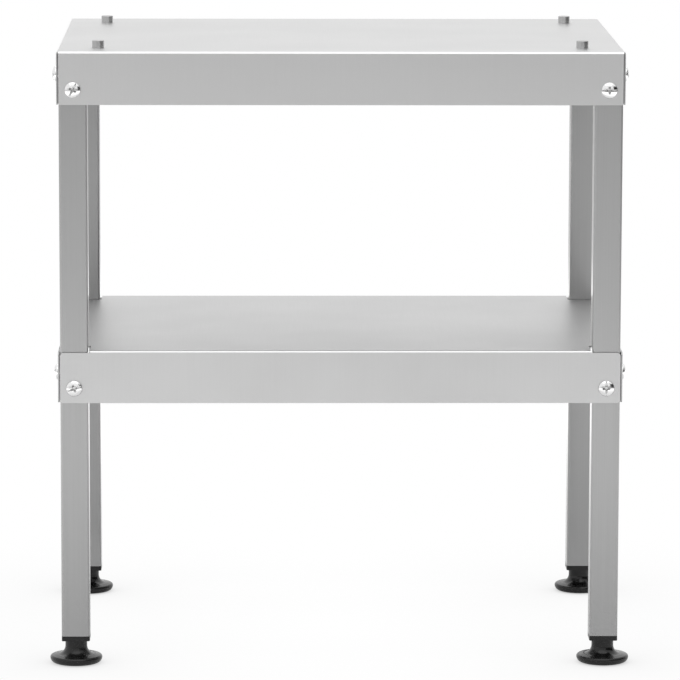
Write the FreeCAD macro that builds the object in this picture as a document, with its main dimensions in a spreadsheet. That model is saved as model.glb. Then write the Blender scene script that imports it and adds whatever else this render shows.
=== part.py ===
import FreeCAD
import Part
import os
import re

import Sketcher

# Two-tier smoker stand: folded sheet trays on four square-tube legs with levelling feet.
# Millimetres. +X is the stand's right, -Y its front and +Z up. The origin lies on the floor under
# the middle of the stand.

SIZES = {
    # Trays: one sheet each, folded down on four sides
    "tray_width": 400.0,
    "tray_depth": 280.0,
    "sheet_thickness": 1.0,
    "bend_radius": 1.5,
    "skirt_height": 37.5,
    "corner_gap": 0.5,
    "skirt_corner_radius": 1.0,
    "tab_corner_radius": 2.5,
    "notch_clearance": 1.2,
    "shelf_rise": 206.5,
    # Legs: square tube
    "tube_side": 20.0,
    "tube_wall": 1.2,
    "tube_corner_radius": 1.6,
    "leg_length": 417.2,
    "leg_top_gap": 0.3,
    # Pan-head screws with a slot and a cross
    "screw_diameter": 6.0,
    "screw_length": 12.0,
    "screw_tip_chamfer": 0.8,
    "screw_hole_clearance": 0.3,
    "screw_head_diameter": 11.5,
    "screw_head_height": 3.0,
    "screw_head_side": 0.6,
    "slot_width": 1.4,
    "slot_depth": 1.1,
    "cross_width": 1.7,
    "cross_span": 6.2,
    "cross_depth": 1.9,
    "front_screw_rise": 10.6,
    "side_screw_rise": 21.0,
    # Rivet nuts in the tube walls
    "rivet_rim_thickness": 0.5,
    "rivet_rim_diameter": 10.6,
    "rivet_barrel_diameter": 9.0,
    "rivet_barrel_length": 10.0,
    "rivet_bulge_diameter": 10.8,
    "rivet_bulge_length": 3.2,
    "rivet_hole_clearance": 0.05,
    "thread_clearance": 0.05,
    # Locating pins, clinched into the top plate from below
    "pin_diameter": 8.6,
    "pin_height": 5.0,
    "pin_chamfer": 0.25,
    "pin_spacing_x": 343.0,
    "pin_spacing_y": 210.0,
    "pin_hole_clearance": 0.05,
    "pin_neck_diameter": 8.0,
    "pin_head_diameter": 11.6,
    "pin_head_height": 1.2,
    # Tube inserts with a moulded-in nut
    "collar_thickness": 3.5,
    "insert_depth": 18.0,
    "insert_core_gap": 0.5,
    "fin_gap": 0.05,
    "fin_thickness": 1.2,
    "fin_first_rise": 2.5,
    "fin_pitch": 6.0,
    "insert_bore_clearance": 0.25,
    "nut_flats": 13.0,
    "nut_height": 6.5,
    "nut_rise": 4.0,
    "nut_pocket_clearance": 0.05,
    # Levelling feet and their studs
    "foot_height": 17.0,
    "neck_gap": 0.2,
    "neck_diameter": 15.6,
    "flare_radius": 6.0,
    "dish_rise": 0.6,
    "disc_diameter": 37.2,
    "disc_edge_radius": 3.9,
    "disc_rim_radius": 1.7,
    "sole_recess_diameter": 18.0,
    "sole_recess_depth": 1.0,
    "stud_diameter": 8.0,
    "stud_reach": 24.0,
    "stud_tip_chamfer": 1.0,
    "stud_head_diameter": 13.0,
    "stud_head_height": 4.0,
    "stud_head_rise": 3.0,
    "stud_clearance": 0.05,
}

FIN_COUNT = 3

# Places worked out from the sizes
SKIRT_SETBACK = "(sheet_thickness + corner_gap)"
LEG_X = "(tray_width / 2 - sheet_thickness - rivet_rim_thickness - tube_side / 2)"
LEG_Y = "(tray_depth / 2 - sheet_thickness - rivet_rim_thickness - tube_side / 2)"
TUBE_INSIDE = "(tube_side - 2 * tube_wall)"
TUBE_INSIDE_RADIUS = "(tube_corner_radius - tube_wall)"
LEG_FOOT = "(foot_height + collar_thickness)"
TOP_LEVEL = f"({LEG_FOOT} + leg_length + leg_top_gap + sheet_thickness)"
SHELF_LEVEL = f"({LEG_FOOT} + shelf_rise)"
TRAY_LEVELS = (TOP_LEVEL, SHELF_LEVEL)
FRONT_SCREW_DROP = "(skirt_height - front_screw_rise)"
SIDE_SCREW_DROP = "(skirt_height - side_screw_rise)"
FOOT_TOP = "(foot_height - neck_gap)"
STUD_TOP = "(foot_height + stud_reach)"
SCREW_HOLE_RADIUS = "(screw_diameter / 2 + screw_hole_clearance)"
PIN_HOLE_RADIUS = "(pin_diameter / 2 + pin_hole_clearance)"
RIVET_HOLE_RADIUS = "(rivet_barrel_diameter / 2 + rivet_hole_clearance)"

# Each leg's corner of the stand, and how far its screws' slots were left turned when tightened:
# upper front or back, upper side, lower front or back, lower side
CORNERS = {
    "front_left": (-1, -1, (62, 35, 20, 110)),
    "front_right": (1, -1, (0, 75, 90, 15)),
    "rear_left": (-1, 1, (48, 5, 130, 62)),
    "rear_right": (1, 1, (155, 95, 28, 140)),
}

doc = FreeCAD.newDocument("smoker_stand")
sheet = doc.addObject("Spreadsheet::Sheet", "Dims")
for row, (alias, size) in enumerate(SIZES.items(), start=1):
    sheet.set(f"A{row}", alias)
    sheet.set(f"B{row}", str(size))
    sheet.setAlias(f"B{row}", alias)
doc.recompute()

nodes = []


def formula(text):
    """Turn the sheet's names in a formula into references that any object can use."""
    return re.sub(r"[a-z]\w*", lambda m: f"Dims.{m[0]}" if m[0] in SIZES else m[0], text)


def value(text):
    """Work a formula out in millimetres."""
    return float(sheet.evalExpression(formula(text)))


def bind(thing, prop, text):
    """Tie a property to a formula of the sheet's sizes."""
    thing.setExpression(prop, formula(text))


def place(thing, x, y, z):
    """Tie a piece's position to the sheet."""
    for axis, text in zip("xyz", (x, y, z)):
        bind(thing, f"Placement.Base.{axis}", text)


def new_body(label):
    """Start a piece that is built from sketches."""
    body = doc.addObject("PartDesign::Body", label)
    body.Label = label
    return body


def new_sketch(body, plane_role, name, offset=None):
    """Start a sketch on one of the body's own planes, or at an offset along its normal."""
    sketch = body.newObject("Sketcher::SketchObject", name)
    plane = next(f for f in body.Origin.OriginFeatures if f.Role == plane_role)
    sketch.AttachmentSupport = [(plane, "")]
    sketch.MapMode = "FlatFace"
    if offset:
        bind(sketch, "AttachmentOffset.Base.z", offset)
    return sketch


def tie_point(sketch, geometry, end, x, y):
    """Tie one end of a line or arc, or a circle's centre, to formulas for its coordinates."""
    for kind, text, axis in (("DistanceX", x, -2), ("DistanceY", y, -1)):
        size = value(text)
        if abs(size) < 1e-9:
            sketch.addConstraint(Sketcher.Constraint("PointOnObject", geometry, end, axis))
        elif size > 0:
            index = sketch.addConstraint(Sketcher.Constraint(kind, -1, 1, geometry, end, size))
            bind(sketch, f"Constraints[{index}]", text)
        else:
            index = sketch.addConstraint(Sketcher.Constraint(kind, geometry, end, -1, 1, -size))
            bind(sketch, f"Constraints[{index}]", f"-({text})")


def tie_radius(sketch, geometry, text):
    """Tie an arc's or circle's radius to a formula."""
    index = sketch.addConstraint(Sketcher.Constraint("Radius", geometry, value(text)))
    bind(sketch, f"Constraints[{index}]", text)


def bend_arc(start, end, radius, turn):
    """Make the short arc from start to end that turns left (1) or right (-1)."""
    chord = end - start
    middle = (start + end) * 0.5
    left = FreeCAD.Vector(-chord.y, chord.x, 0).normalize()
    rise = max(radius ** 2 - (chord.Length / 2) ** 2, 0.0) ** 0.5
    centre = middle + left * (turn * rise)
    first, last = (start, end) if turn > 0 else (end, start)
    angles = [(p - centre).getAngle(FreeCAD.Vector(1, 0, 0)) for p in (first, last)]
    angles = [a if (p - centre).y >= 0 else -a for a, p in zip(angles, (first, last))]
    circle = Part.Circle(centre, FreeCAD.Vector(0, 0, 1), radius)
    return Part.ArcOfCircle(circle, *angles)


def draw_loop(sketch, corners):
    """Draw a closed outline and tie it to the sheet.

    A corner is (x, y), or (x, y, turn, radius) where an arc that turns left (1) or right (-1)
    leads to the next corner.
    """
    points = [FreeCAD.Vector(value(c[0]), value(c[1]), 0) for c in corners]
    first = sketch.GeometryCount
    count = len(corners)
    ends = []
    for i, corner in enumerate(corners):
        start, end = points[i], points[(i + 1) % count]
        turn = corner[2] if len(corner) > 2 else 0
        if turn:
            sketch.addGeometry(bend_arc(start, end, value(corner[3]), turn), False)
        else:
            sketch.addGeometry(Part.LineSegment(start, end), False)
        ends.append((2, 1) if turn < 0 else (1, 2))
    for i, corner in enumerate(corners):
        after = (i + 1) % count
        joint = Sketcher.Constraint("Coincident", first + i, ends[i][1], first + after, ends[after][0])
        sketch.addConstraint(joint)
        tie_point(sketch, first + i, ends[i][0], corner[0], corner[1])
        if len(corner) > 2:
            tie_radius(sketch, first + i, corner[3])


def draw_circle(sketch, x, y, radius):
    """Draw a circle and tie it to the sheet."""
    centre = FreeCAD.Vector(value(x), value(y), 0)
    index = sketch.addGeometry(Part.Circle(centre, FreeCAD.Vector(0, 0, 1), value(radius)), False)
    tie_point(sketch, index, 3, x, y)
    tie_radius(sketch, index, radius)


def draw_rounded_square(sketch, side, radius):
    """Draw a square about the origin with rounded corners."""
    half = f"({side} / 2)"
    inner = f"({half} - {radius})"
    draw_loop(sketch, [
        (f"-{inner}", f"-{half}"), (inner, f"-{half}", 1, radius),
        (half, f"-{inner}"), (half, inner, 1, radius),
        (inner, half), (f"-{inner}", half, 1, radius),
        (f"-{half}", inner), (f"-{half}", f"-{inner}", 1, radius),
    ])


def pad(body, sketch, name, length, symmetric=False, reverse=False):
    """Raise a sketch into a solid."""
    feature = body.newObject("PartDesign::Pad", name)
    feature.Profile = sketch
    bind(feature, "Length", length)
    feature.SideType = "Symmetric" if symmetric else "One side"
    feature.Reversed = reverse
    return feature


def pocket(body, sketch, name, length=None, symmetric=False, reverse=False):
    """Cut a sketch into the body, to a depth or all the way through."""
    feature = body.newObject("PartDesign::Pocket", name)
    feature.Profile = sketch
    if length:
        bind(feature, "Length", length)
    else:
        feature.Type = "ThroughAll"
    feature.SideType = "Symmetric" if symmetric else "One side"
    feature.Reversed = reverse
    return feature


def turned_body(label, corners):
    """Make a piece by turning an outline of (radius, height) corners about the Z axis."""
    body = new_body(label)
    sketch = new_sketch(body, "XZ_Plane", f"{label}_outline")
    draw_loop(sketch, corners)
    feature = body.newObject("PartDesign::Revolution", f"{label}_turning")
    feature.Profile = sketch
    feature.ReferenceAxis = (sketch, ["V_Axis"])
    feature.Angle = 360
    return body


def fold_outline(sketch, span):
    """Draw the section of a sheet that is folded down at both ends; its top lies at zero."""
    half = f"({span} / 2)"
    inside = f"({half} - sheet_thickness)"
    flat = f"({half} - bend_radius)"
    inner_bend = "(bend_radius - sheet_thickness)"
    draw_loop(sketch, [
        (f"-{half}", "-skirt_height"), (f"-{half}", "-bend_radius", -1, "bend_radius"),
        (f"-{flat}", "0"), (flat, "0", -1, "bend_radius"),
        (half, "-bend_radius"), (half, "-skirt_height"),
        (inside, "-skirt_height"), (inside, "-bend_radius", 1, inner_bend),
        (flat, "-sheet_thickness"), (f"-{flat}", "-sheet_thickness", 1, inner_bend),
        (f"-{inside}", "-bend_radius"), (f"-{inside}", "-skirt_height"),
    ])


def skirt_outline(sketch, span):
    """Draw a skirt that ends in free tabs, with all four corners rounded."""
    end = f"({span} / 2 - {SKIRT_SETBACK})"
    inner = f"({end} - tab_corner_radius)"
    top, upper = "-bend_radius", "-(bend_radius + tab_corner_radius)"
    bottom, lower = "-skirt_height", "-(skirt_height - tab_corner_radius)"
    draw_loop(sketch, [
        (f"-{inner}", bottom), (inner, bottom, 1, "tab_corner_radius"),
        (end, lower), (end, upper, 1, "tab_corner_radius"),
        (inner, top), (f"-{inner}", top, 1, "tab_corner_radius"),
        (f"-{end}", upper), (f"-{end}", lower, 1, "tab_corner_radius"),
    ])


def fold_tray(body, front_fold_length, side_fold_length):
    """Fold the front and back skirts, then the side skirts, out of the tray's plate."""
    for name, plane, span, length in (
        ("front_fold", "YZ_Plane", "tray_depth", front_fold_length),
        ("side_fold", "XZ_Plane", "tray_width", side_fold_length),
    ):
        sketch = new_sketch(body, plane, f"{name}_section")
        fold_outline(sketch, span)
        pad(body, sketch, name, length, symmetric=True)


def drill_skirts(body):
    """Drill the screw holes through the front, back and side skirts."""
    for name, plane, place_along, drop in (
        ("front_holes", "XZ_Plane", LEG_X, FRONT_SCREW_DROP),
        ("side_holes", "YZ_Plane", LEG_Y, SIDE_SCREW_DROP),
    ):
        sketch = new_sketch(body, plane, f"{name}_centres")
        for side in (-1, 1):
            draw_circle(sketch, f"{side} * {place_along}", f"-{drop}", SCREW_HOLE_RADIUS)
        pocket(body, sketch, name, symmetric=True)


def round_skirt_corners(body):
    """Round the lower corners of every skirt."""
    doc.recompute()
    folds = body.Tip
    bottom = -value("skirt_height")
    thickness = value("sheet_thickness")
    corners = []
    for number, edge in enumerate(folds.Shape.Edges, start=1):
        low = all(abs(v.Z - bottom) < 1e-6 for v in edge.Vertexes)
        if low and abs(edge.Length - thickness) < 1e-6:
            corners.append(f"Edge{number}")
    feature = body.newObject("PartDesign::Fillet", "skirt_corners")
    feature.Base = (folds, corners)
    bind(feature, "Radius", "skirt_corner_radius")


def make_top_tray():
    """Make the top tray: a plain plate with skirts all the way along its edges."""
    body = new_body("top_tray")
    fold_tray(body, f"tray_width - 2 * {SKIRT_SETBACK}", f"tray_depth - 2 * {SKIRT_SETBACK}")
    round_skirt_corners(body)
    drill_skirts(body)
    sketch = new_sketch(body, "XY_Plane", "pin_hole_centres")
    for side_x in (-1, 1):
        for side_y in (-1, 1):
            x, y = f"{side_x} * pin_spacing_x / 2", f"{side_y} * pin_spacing_y / 2"
            draw_circle(sketch, x, y, PIN_HOLE_RADIUS)
    pocket(body, sketch, "pin_holes")
    place(body, "0", "0", TOP_LEVEL)
    nodes.append(body)


def make_lower_shelf():
    """Make the lower shelf: the folds stop at the legs and the skirts run on as free tabs."""
    body = new_body("lower_shelf")
    fold_tray(
        body,
        f"2 * ({LEG_X} - tube_side / 2 - notch_clearance)",
        f"2 * ({LEG_Y} - tube_side / 2 - notch_clearance)",
    )
    for name, plane, span, reach in (
        ("front_skirt", "XZ_Plane", "tray_width", "tray_depth"),
        ("side_skirt", "YZ_Plane", "tray_depth", "tray_width"),
    ):
        sketch = new_sketch(body, plane, f"{name}_outline", f"{reach} / 2")
        skirt_outline(sketch, span)
        skirt = pad(body, sketch, name, "sheet_thickness", reverse=True)
        opposite = body.newObject("PartDesign::Mirrored", f"{name}_opposite")
        opposite.Originals = [skirt]
        opposite.MirrorPlane = (next(f for f in body.Origin.OriginFeatures if f.Role == plane), [""])
        body.Tip = opposite
    drill_skirts(body)
    place(body, "0", "0", SHELF_LEVEL)
    nodes.append(body)


def make_leg(corner, side_x, side_y):
    """Make one leg tube, drilled in its two outer walls for the rivet nuts."""
    body = new_body(f"leg_{corner}")
    sketch = new_sketch(body, "XY_Plane", "tube_section")
    draw_rounded_square(sketch, "tube_side", "tube_corner_radius")
    draw_rounded_square(sketch, TUBE_INSIDE, TUBE_INSIDE_RADIUS)
    pad(body, sketch, "tube", "leg_length")
    for name, plane, drop, reverse in (
        ("front_holes", "XZ_Plane", FRONT_SCREW_DROP, side_y < 0),
        ("side_holes", "YZ_Plane", SIDE_SCREW_DROP, side_x > 0),
    ):
        sketch = new_sketch(body, plane, f"{name}_centres")
        for level in TRAY_LEVELS:
            draw_circle(sketch, "0", f"{level} - {drop} - {LEG_FOOT}", RIVET_HOLE_RADIUS)
        pocket(body, sketch, name, reverse=reverse)
    place(body, f"{side_x} * {LEG_X}", f"{side_y} * {LEG_Y}", LEG_FOOT)
    nodes.append(body)


def make_pin(corner, side_x, side_y):
    """Make one locating pin: pushed up through the plate, with a head below and a neck in the hole."""
    head, neck, pin = "pin_head_diameter / 2", "pin_neck_diameter / 2", "pin_diameter / 2"
    head_bottom = "-(sheet_thickness + pin_head_height)"
    body = turned_body(f"locating_pin_{corner}", [
        ("0", head_bottom), (f"{head} - pin_head_height", head_bottom, 1, "pin_head_height"),
        (head, "-sheet_thickness"), (neck, "-sheet_thickness"), (neck, "0"), (pin, "0"),
        (pin, "pin_height - pin_chamfer"), (f"{pin} - pin_chamfer", "pin_height"),
        ("0", "pin_height"),
    ])
    place(body, f"{side_x} * pin_spacing_x / 2", f"{side_y} * pin_spacing_y / 2", TOP_LEVEL)
    nodes.append(body)


def hexagon(flats):
    """Give the corners of a hexagon across flats, points towards +Y and -Y."""
    half, point, shoulder = f"{flats} / 2", f"{flats} / sqrt(3)", f"{flats} / sqrt(12)"
    return [
        ("0", f"-{point}"), (half, f"-{shoulder}"), (half, shoulder),
        ("0", point), (f"-({half})", shoulder), (f"-({half})", f"-{shoulder}"),
    ]


def make_insert(corner, side_x, side_y):
    """Make one tube insert: a collar below the tube, a finned plug and a pocket round its nut."""
    body = new_body(f"foot_insert_{corner}")
    sketch = new_sketch(body, "XY_Plane", "collar_outline")
    draw_rounded_square(sketch, "tube_side", "tube_corner_radius")
    pad(body, sketch, "collar", "collar_thickness", reverse=True)
    sketch = new_sketch(body, "XY_Plane", "core_outline")
    draw_rounded_square(sketch, f"({TUBE_INSIDE} - 2 * insert_core_gap)", "tube_corner_radius")
    pad(body, sketch, "core", "insert_depth")
    sketch = new_sketch(body, "XY_Plane", "fin_outline", "fin_first_rise")
    draw_rounded_square(sketch, f"({TUBE_INSIDE} - 2 * fin_gap)", "tube_corner_radius")
    fin = pad(body, sketch, "fin", "fin_thickness")
    fins = body.newObject("PartDesign::LinearPattern", "fins")
    fins.Originals = [fin]
    fins.Direction = (sketch, ["N_Axis"])
    fins.Mode = "Spacing"
    bind(fins, "Offset", "fin_pitch")
    fins.Occurrences = FIN_COUNT
    body.Tip = fins
    sketch = new_sketch(body, "XY_Plane", "bore_outline")
    draw_circle(sketch, "0", "0", "stud_diameter / 2 + insert_bore_clearance")
    pocket(body, sketch, "bore", symmetric=True)
    sketch = new_sketch(body, "XY_Plane", "nut_pocket_outline", "nut_rise - nut_pocket_clearance")
    draw_loop(sketch, hexagon("(nut_flats + 2 * nut_pocket_clearance)"))
    pocket(body, sketch, "nut_pocket", "nut_height + 2 * nut_pocket_clearance", reverse=True)
    place(body, f"{side_x} * {LEG_X}", f"{side_y} * {LEG_Y}", LEG_FOOT)
    nodes.append(body)


def make_insert_nut(corner, side_x, side_y):
    """Make the steel nut that is moulded into one insert."""
    body = new_body(f"insert_nut_{corner}")
    sketch = new_sketch(body, "XY_Plane", "nut_outline")
    draw_loop(sketch, hexagon("nut_flats"))
    draw_circle(sketch, "0", "0", "stud_diameter / 2 + stud_clearance")
    pad(body, sketch, "nut", "nut_height")
    place(body, f"{side_x} * {LEG_X}", f"{side_y} * {LEG_Y}", f"{LEG_FOOT} + nut_rise")
    nodes.append(body)


def make_stud(corner, side_x, side_y):
    """Make one levelling stud: its head is held in the foot and its shank runs in the nut."""
    head, shank = "stud_head_diameter / 2", "stud_diameter / 2"
    head_top = "stud_head_rise + stud_head_height"
    body = turned_body(f"levelling_stud_{corner}", [
        ("0", "stud_head_rise"), (head, "stud_head_rise"), (head, head_top), (shank, head_top),
        (shank, f"{STUD_TOP} - stud_tip_chamfer"), (f"{shank} - stud_tip_chamfer", STUD_TOP),
        ("0", STUD_TOP),
    ])
    place(body, f"{side_x} * {LEG_X}", f"{side_y} * {LEG_Y}", "0")
    nodes.append(body)


def make_foot(corner, side_x, side_y):
    """Make one moulded foot: a neck that flares into a round-edged disc, hollow for its stud."""
    neck, disc = "neck_diameter / 2", "disc_diameter / 2"
    bore = "stud_diameter / 2 + stud_clearance"
    pocket_radius = "stud_head_diameter / 2 + stud_clearance"
    pocket_bottom = "stud_head_rise - stud_clearance"
    pocket_top = "stud_head_rise + stud_head_height + stud_clearance"
    rim_top = "disc_edge_radius + disc_rim_radius"
    flare_foot = f"{rim_top} + dish_rise"
    recess = "sole_recess_diameter / 2"
    body = turned_body(f"levelling_foot_{corner}", [
        ("0", "sole_recess_depth"), (recess, "sole_recess_depth"), (recess, "0"),
        (f"{disc} - disc_edge_radius", "0", 1, "disc_edge_radius"),
        (disc, "disc_edge_radius", 1, "disc_rim_radius"),
        (f"{disc} - disc_rim_radius", rim_top),
        (f"{neck} + flare_radius", flare_foot, -1, "flare_radius"),
        (neck, f"{flare_foot} + flare_radius"), (neck, FOOT_TOP),
        (bore, FOOT_TOP), (bore, pocket_top), (pocket_radius, pocket_top),
        (pocket_radius, pocket_bottom), ("0", pocket_bottom),
    ])
    place(body, f"{side_x} * {LEG_X}", f"{side_y} * {LEG_Y}", "0")
    nodes.append(body)


def make_screw():
    """Make the pattern for every screw: its head stands out along +Z from the skirt's face."""
    shank, head = "screw_diameter / 2", "screw_head_diameter / 2"
    crown = "(screw_head_height - screw_head_side)"
    body = turned_body("screw_pattern", [
        ("0", "-screw_length"), (f"{shank} - screw_tip_chamfer", "-screw_length"),
        (shank, "-(screw_length - screw_tip_chamfer)"), (shank, "0"), (head, "0"),
        (head, "screw_head_side", 1, crown), (f"{head} - {crown}", "screw_head_height"),
        ("0", "screw_head_height"),
    ])
    sketch = new_sketch(body, "XY_Plane", "slot_outline", "screw_head_height")
    end, half = "screw_head_diameter", "slot_width / 2"
    draw_loop(sketch, [(f"-{end}", f"-{half}"), (end, f"-{half}"), (end, half), (f"-{end}", half)])
    pocket(body, sketch, "slot", "slot_depth")
    sketch = new_sketch(body, "XY_Plane", "cross_outline", "screw_head_height")
    arm, side = "cross_span / 2", "cross_width / 2"
    draw_loop(sketch, [
        (f"-{side}", f"-{arm}"), (side, f"-{arm}"), (side, f"-{side}"), (arm, f"-{side}"),
        (arm, side), (side, side), (side, arm), (f"-{side}", arm), (f"-{side}", side),
        (f"-{arm}", side), (f"-{arm}", f"-{side}"), (f"-{side}", f"-{side}"),
    ])
    pocket(body, sketch, "cross", "cross_depth")
    return body


def make_rivet_nut():
    """Make the pattern for every rivet nut: its rim lies on the tube's face, its barrel inside."""
    bore = "screw_diameter / 2 + thread_clearance"
    barrel, bulge, rim = (f"rivet_{part}_diameter / 2" for part in ("barrel", "bulge", "rim"))
    bulge_end = "-(tube_wall + rivet_bulge_length)"
    return turned_body("rivet_nut_pattern", [
        (bore, "-rivet_barrel_length"), (barrel, "-rivet_barrel_length"), (barrel, bulge_end),
        (bulge, "-(tube_wall + rivet_bulge_length / 2)"), (bulge, "-tube_wall"),
        (barrel, "-tube_wall"), (barrel, "0"), (rim, "0"), (rim, "rivet_rim_thickness"),
        (bore, "rivet_rim_thickness"),
    ])


def outward_turn(side_x, side_y):
    """Give the rotation that points +Z out of the face on the given side."""
    if side_y:
        return FreeCAD.Rotation(FreeCAD.Vector(1, 0, 0), -90 * side_y)
    return FreeCAD.Rotation(FreeCAD.Vector(0, 1, 0), 90 * side_x)


def make_fasteners(label, pattern, corner, reach_x, reach_y, turns=(0, 0, 0, 0)):
    """Set four copies of a pattern into one leg: on its front or back and its side, at each tray."""
    side_x, side_y, _ = CORNERS[corner]
    seats = []
    for level in TRAY_LEVELS:
        seats.append((outward_turn(0, side_y), LEG_X, reach_y, f"{level} - {FRONT_SCREW_DROP}"))
        seats.append((outward_turn(side_x, 0), reach_x, LEG_Y, f"{level} - {SIDE_SCREW_DROP}"))
    copies = []
    for number, ((facing, x, y, z), turn) in enumerate(zip(seats, turns), start=1):
        copy = doc.addObject("App::Link", f"{label}_{number}")
        copy.LinkedObject = pattern
        spin = FreeCAD.Rotation(FreeCAD.Vector(0, 0, 1), turn)
        copy.Placement = FreeCAD.Placement(FreeCAD.Vector(), facing.multiply(spin))
        place(copy, f"{side_x} * {x}", f"{side_y} * {y}", z)
        copies.append(copy)
    group = doc.addObject("Part::Compound", label)
    group.Label = label
    group.Links = copies
    nodes.append(group)


def write_steps():
    """Check that every object was made and is sound, then write one file for each piece."""
    doc.recompute()
    failed = [o.Label for o in doc.Objects if {"Invalid", "Error"} & set(o.State)]
    if failed:
        raise RuntimeError(f"not made: {', '.join(failed)}")
    for node in nodes:
        if node.Shape.isNull() or not node.Shape.isValid():
            raise RuntimeError(f"not a sound shape: {node.Label}")
    os.makedirs("parts", exist_ok=True)
    for node in nodes:
        node.Shape.exportStep(f"parts/{node.Label}.step")
        print(node.Label, len(node.Shape.Solids), round(node.Shape.Volume, 1))


make_top_tray()
make_lower_shelf()
screw = make_screw()
rivet_nut = make_rivet_nut()
for corner, (side_x, side_y, slot_turns) in CORNERS.items():
    for make in (make_leg, make_pin, make_insert, make_insert_nut, make_stud, make_foot):
        make(corner, side_x, side_y)
    make_fasteners(f"screws_{corner}", screw, corner, "tray_width / 2", "tray_depth / 2", slot_turns)
    tube_x, tube_y = f"({LEG_X} + tube_side / 2)", f"({LEG_Y} + tube_side / 2)"
    make_fasteners(f"rivet_nuts_{corner}", rivet_nut, corner, tube_x, tube_y)
write_steps()
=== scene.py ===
"""Looks of a two-tier smoker stand: folded zinc-coated trays on square tube legs with levelling feet."""
import logging
import math
from collections.abc import Iterator
from dataclasses import dataclass
from enum import Enum
from typing import ClassVar

import bmesh
import bpy
from mathutils import Matrix, Vector


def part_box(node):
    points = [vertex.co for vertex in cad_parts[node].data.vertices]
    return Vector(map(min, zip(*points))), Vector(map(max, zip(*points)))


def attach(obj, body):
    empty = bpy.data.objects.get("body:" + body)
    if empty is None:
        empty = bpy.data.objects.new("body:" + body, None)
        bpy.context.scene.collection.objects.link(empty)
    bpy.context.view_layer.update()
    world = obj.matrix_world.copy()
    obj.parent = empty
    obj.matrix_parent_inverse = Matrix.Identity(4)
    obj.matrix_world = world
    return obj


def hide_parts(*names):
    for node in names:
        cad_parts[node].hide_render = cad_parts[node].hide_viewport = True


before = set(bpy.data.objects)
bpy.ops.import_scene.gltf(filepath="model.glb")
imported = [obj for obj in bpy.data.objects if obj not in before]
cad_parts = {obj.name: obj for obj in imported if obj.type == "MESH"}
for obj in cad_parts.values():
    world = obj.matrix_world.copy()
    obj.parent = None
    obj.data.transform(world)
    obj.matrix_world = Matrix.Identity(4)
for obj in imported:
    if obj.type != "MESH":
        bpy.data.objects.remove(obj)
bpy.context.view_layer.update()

log = logging.getLogger("smoker_stand")
MM = 0.001
# Points of one skin that lie nearer than this are one point
WELD = 0.001 * MM
# A point this near a face lies on it
NEAR = 0.05 * MM
# Noise textures mostly stay between these values
NOISE_LOW, NOISE_HIGH = 0.3, 0.7
# Wave textures run through this many radians in each unit
WAVE_RADIANS = 20
# The body that the built screws belong to
STAND = "stand"


class Corner(Enum):
    """The stand's four corners, by the side that each one lies on along X and along Y."""

    FRONT_LEFT = (-1, -1)
    FRONT_RIGHT = (1, -1)
    REAR_LEFT = (-1, 1)
    REAR_RIGHT = (1, 1)

    def node(self, piece: str) -> str:
        """Give the name of a piece's node at this corner."""
        return f"{piece}_{self.name.lower()}"


def linear(colour: str) -> tuple[float, float, float, float]:
    """Turn an sRGB hex colour into linear light.

    Args:
        colour: the colour as a hash sign and six hex digits.

    Returns:
        Red, green, blue and an alpha of one.
    """
    channels = [int(colour[i:i + 2], 16) / 255 for i in (1, 3, 5)]
    light = [c / 12.92 if c <= 0.04045 else ((c + 0.055) / 1.055) ** 2.4 for c in channels]
    return (*light, 1.0)


def add_node(
    tree: bpy.types.NodeTree, kind: str, inputs: dict[str | int, object], **settings: object
) -> bpy.types.Node:
    """Add a node to a tree with its settings, constants and links.

    Args:
        tree: the node tree of a material or of the world.
        kind: the kind of node, without the "ShaderNode" that starts its name in Blender.
        inputs: each socket by name or number, with its constant or the output that feeds it. A Mix
            node has its factor at 0, its numbers at 2 and 3 and its colours at 6 and 7.
        settings: the node's own properties.

    Returns:
        The new node.
    """
    node = tree.nodes.new(f"ShaderNode{kind}")
    for name, setting in settings.items():
        setattr(node, name, setting)
    for name, source in inputs.items():
        if isinstance(source, bpy.types.NodeSocket):
            tree.links.new(source, node.inputs[name])
        else:
            node.inputs[name].default_value = source
    return node


@dataclass(frozen=True)
class Finish:
    """A surface: what it is made of and how it was made."""

    name: str
    colour: str
    roughness: float
    metallic: float

    def material(self) -> bpy.types.Material:
        """Give the finish's material, which is made the first time.

        Returns:
            The material, which all pieces of this finish share.
        """
        made = bpy.data.materials.get(self.name)
        if made is None:
            made = bpy.data.materials.new(self.name)
            made.use_nodes = True
            tree = made.node_tree
            tree.nodes.clear()
            shader = add_node(tree, "BsdfPrincipled", {"Metallic": self.metallic})
            self.draw(tree, shader)
            add_node(tree, "OutputMaterial", {"Surface": shader.outputs["BSDF"]})
        return made

    def draw(self, tree: bpy.types.NodeTree, shader: bpy.types.Node) -> None:
        """Draw the finish's pattern and link it to the shader.

        Args:
            tree: the material's node tree.
            shader: the principled shader that the pattern feeds.
        """
        raise NotImplementedError


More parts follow.
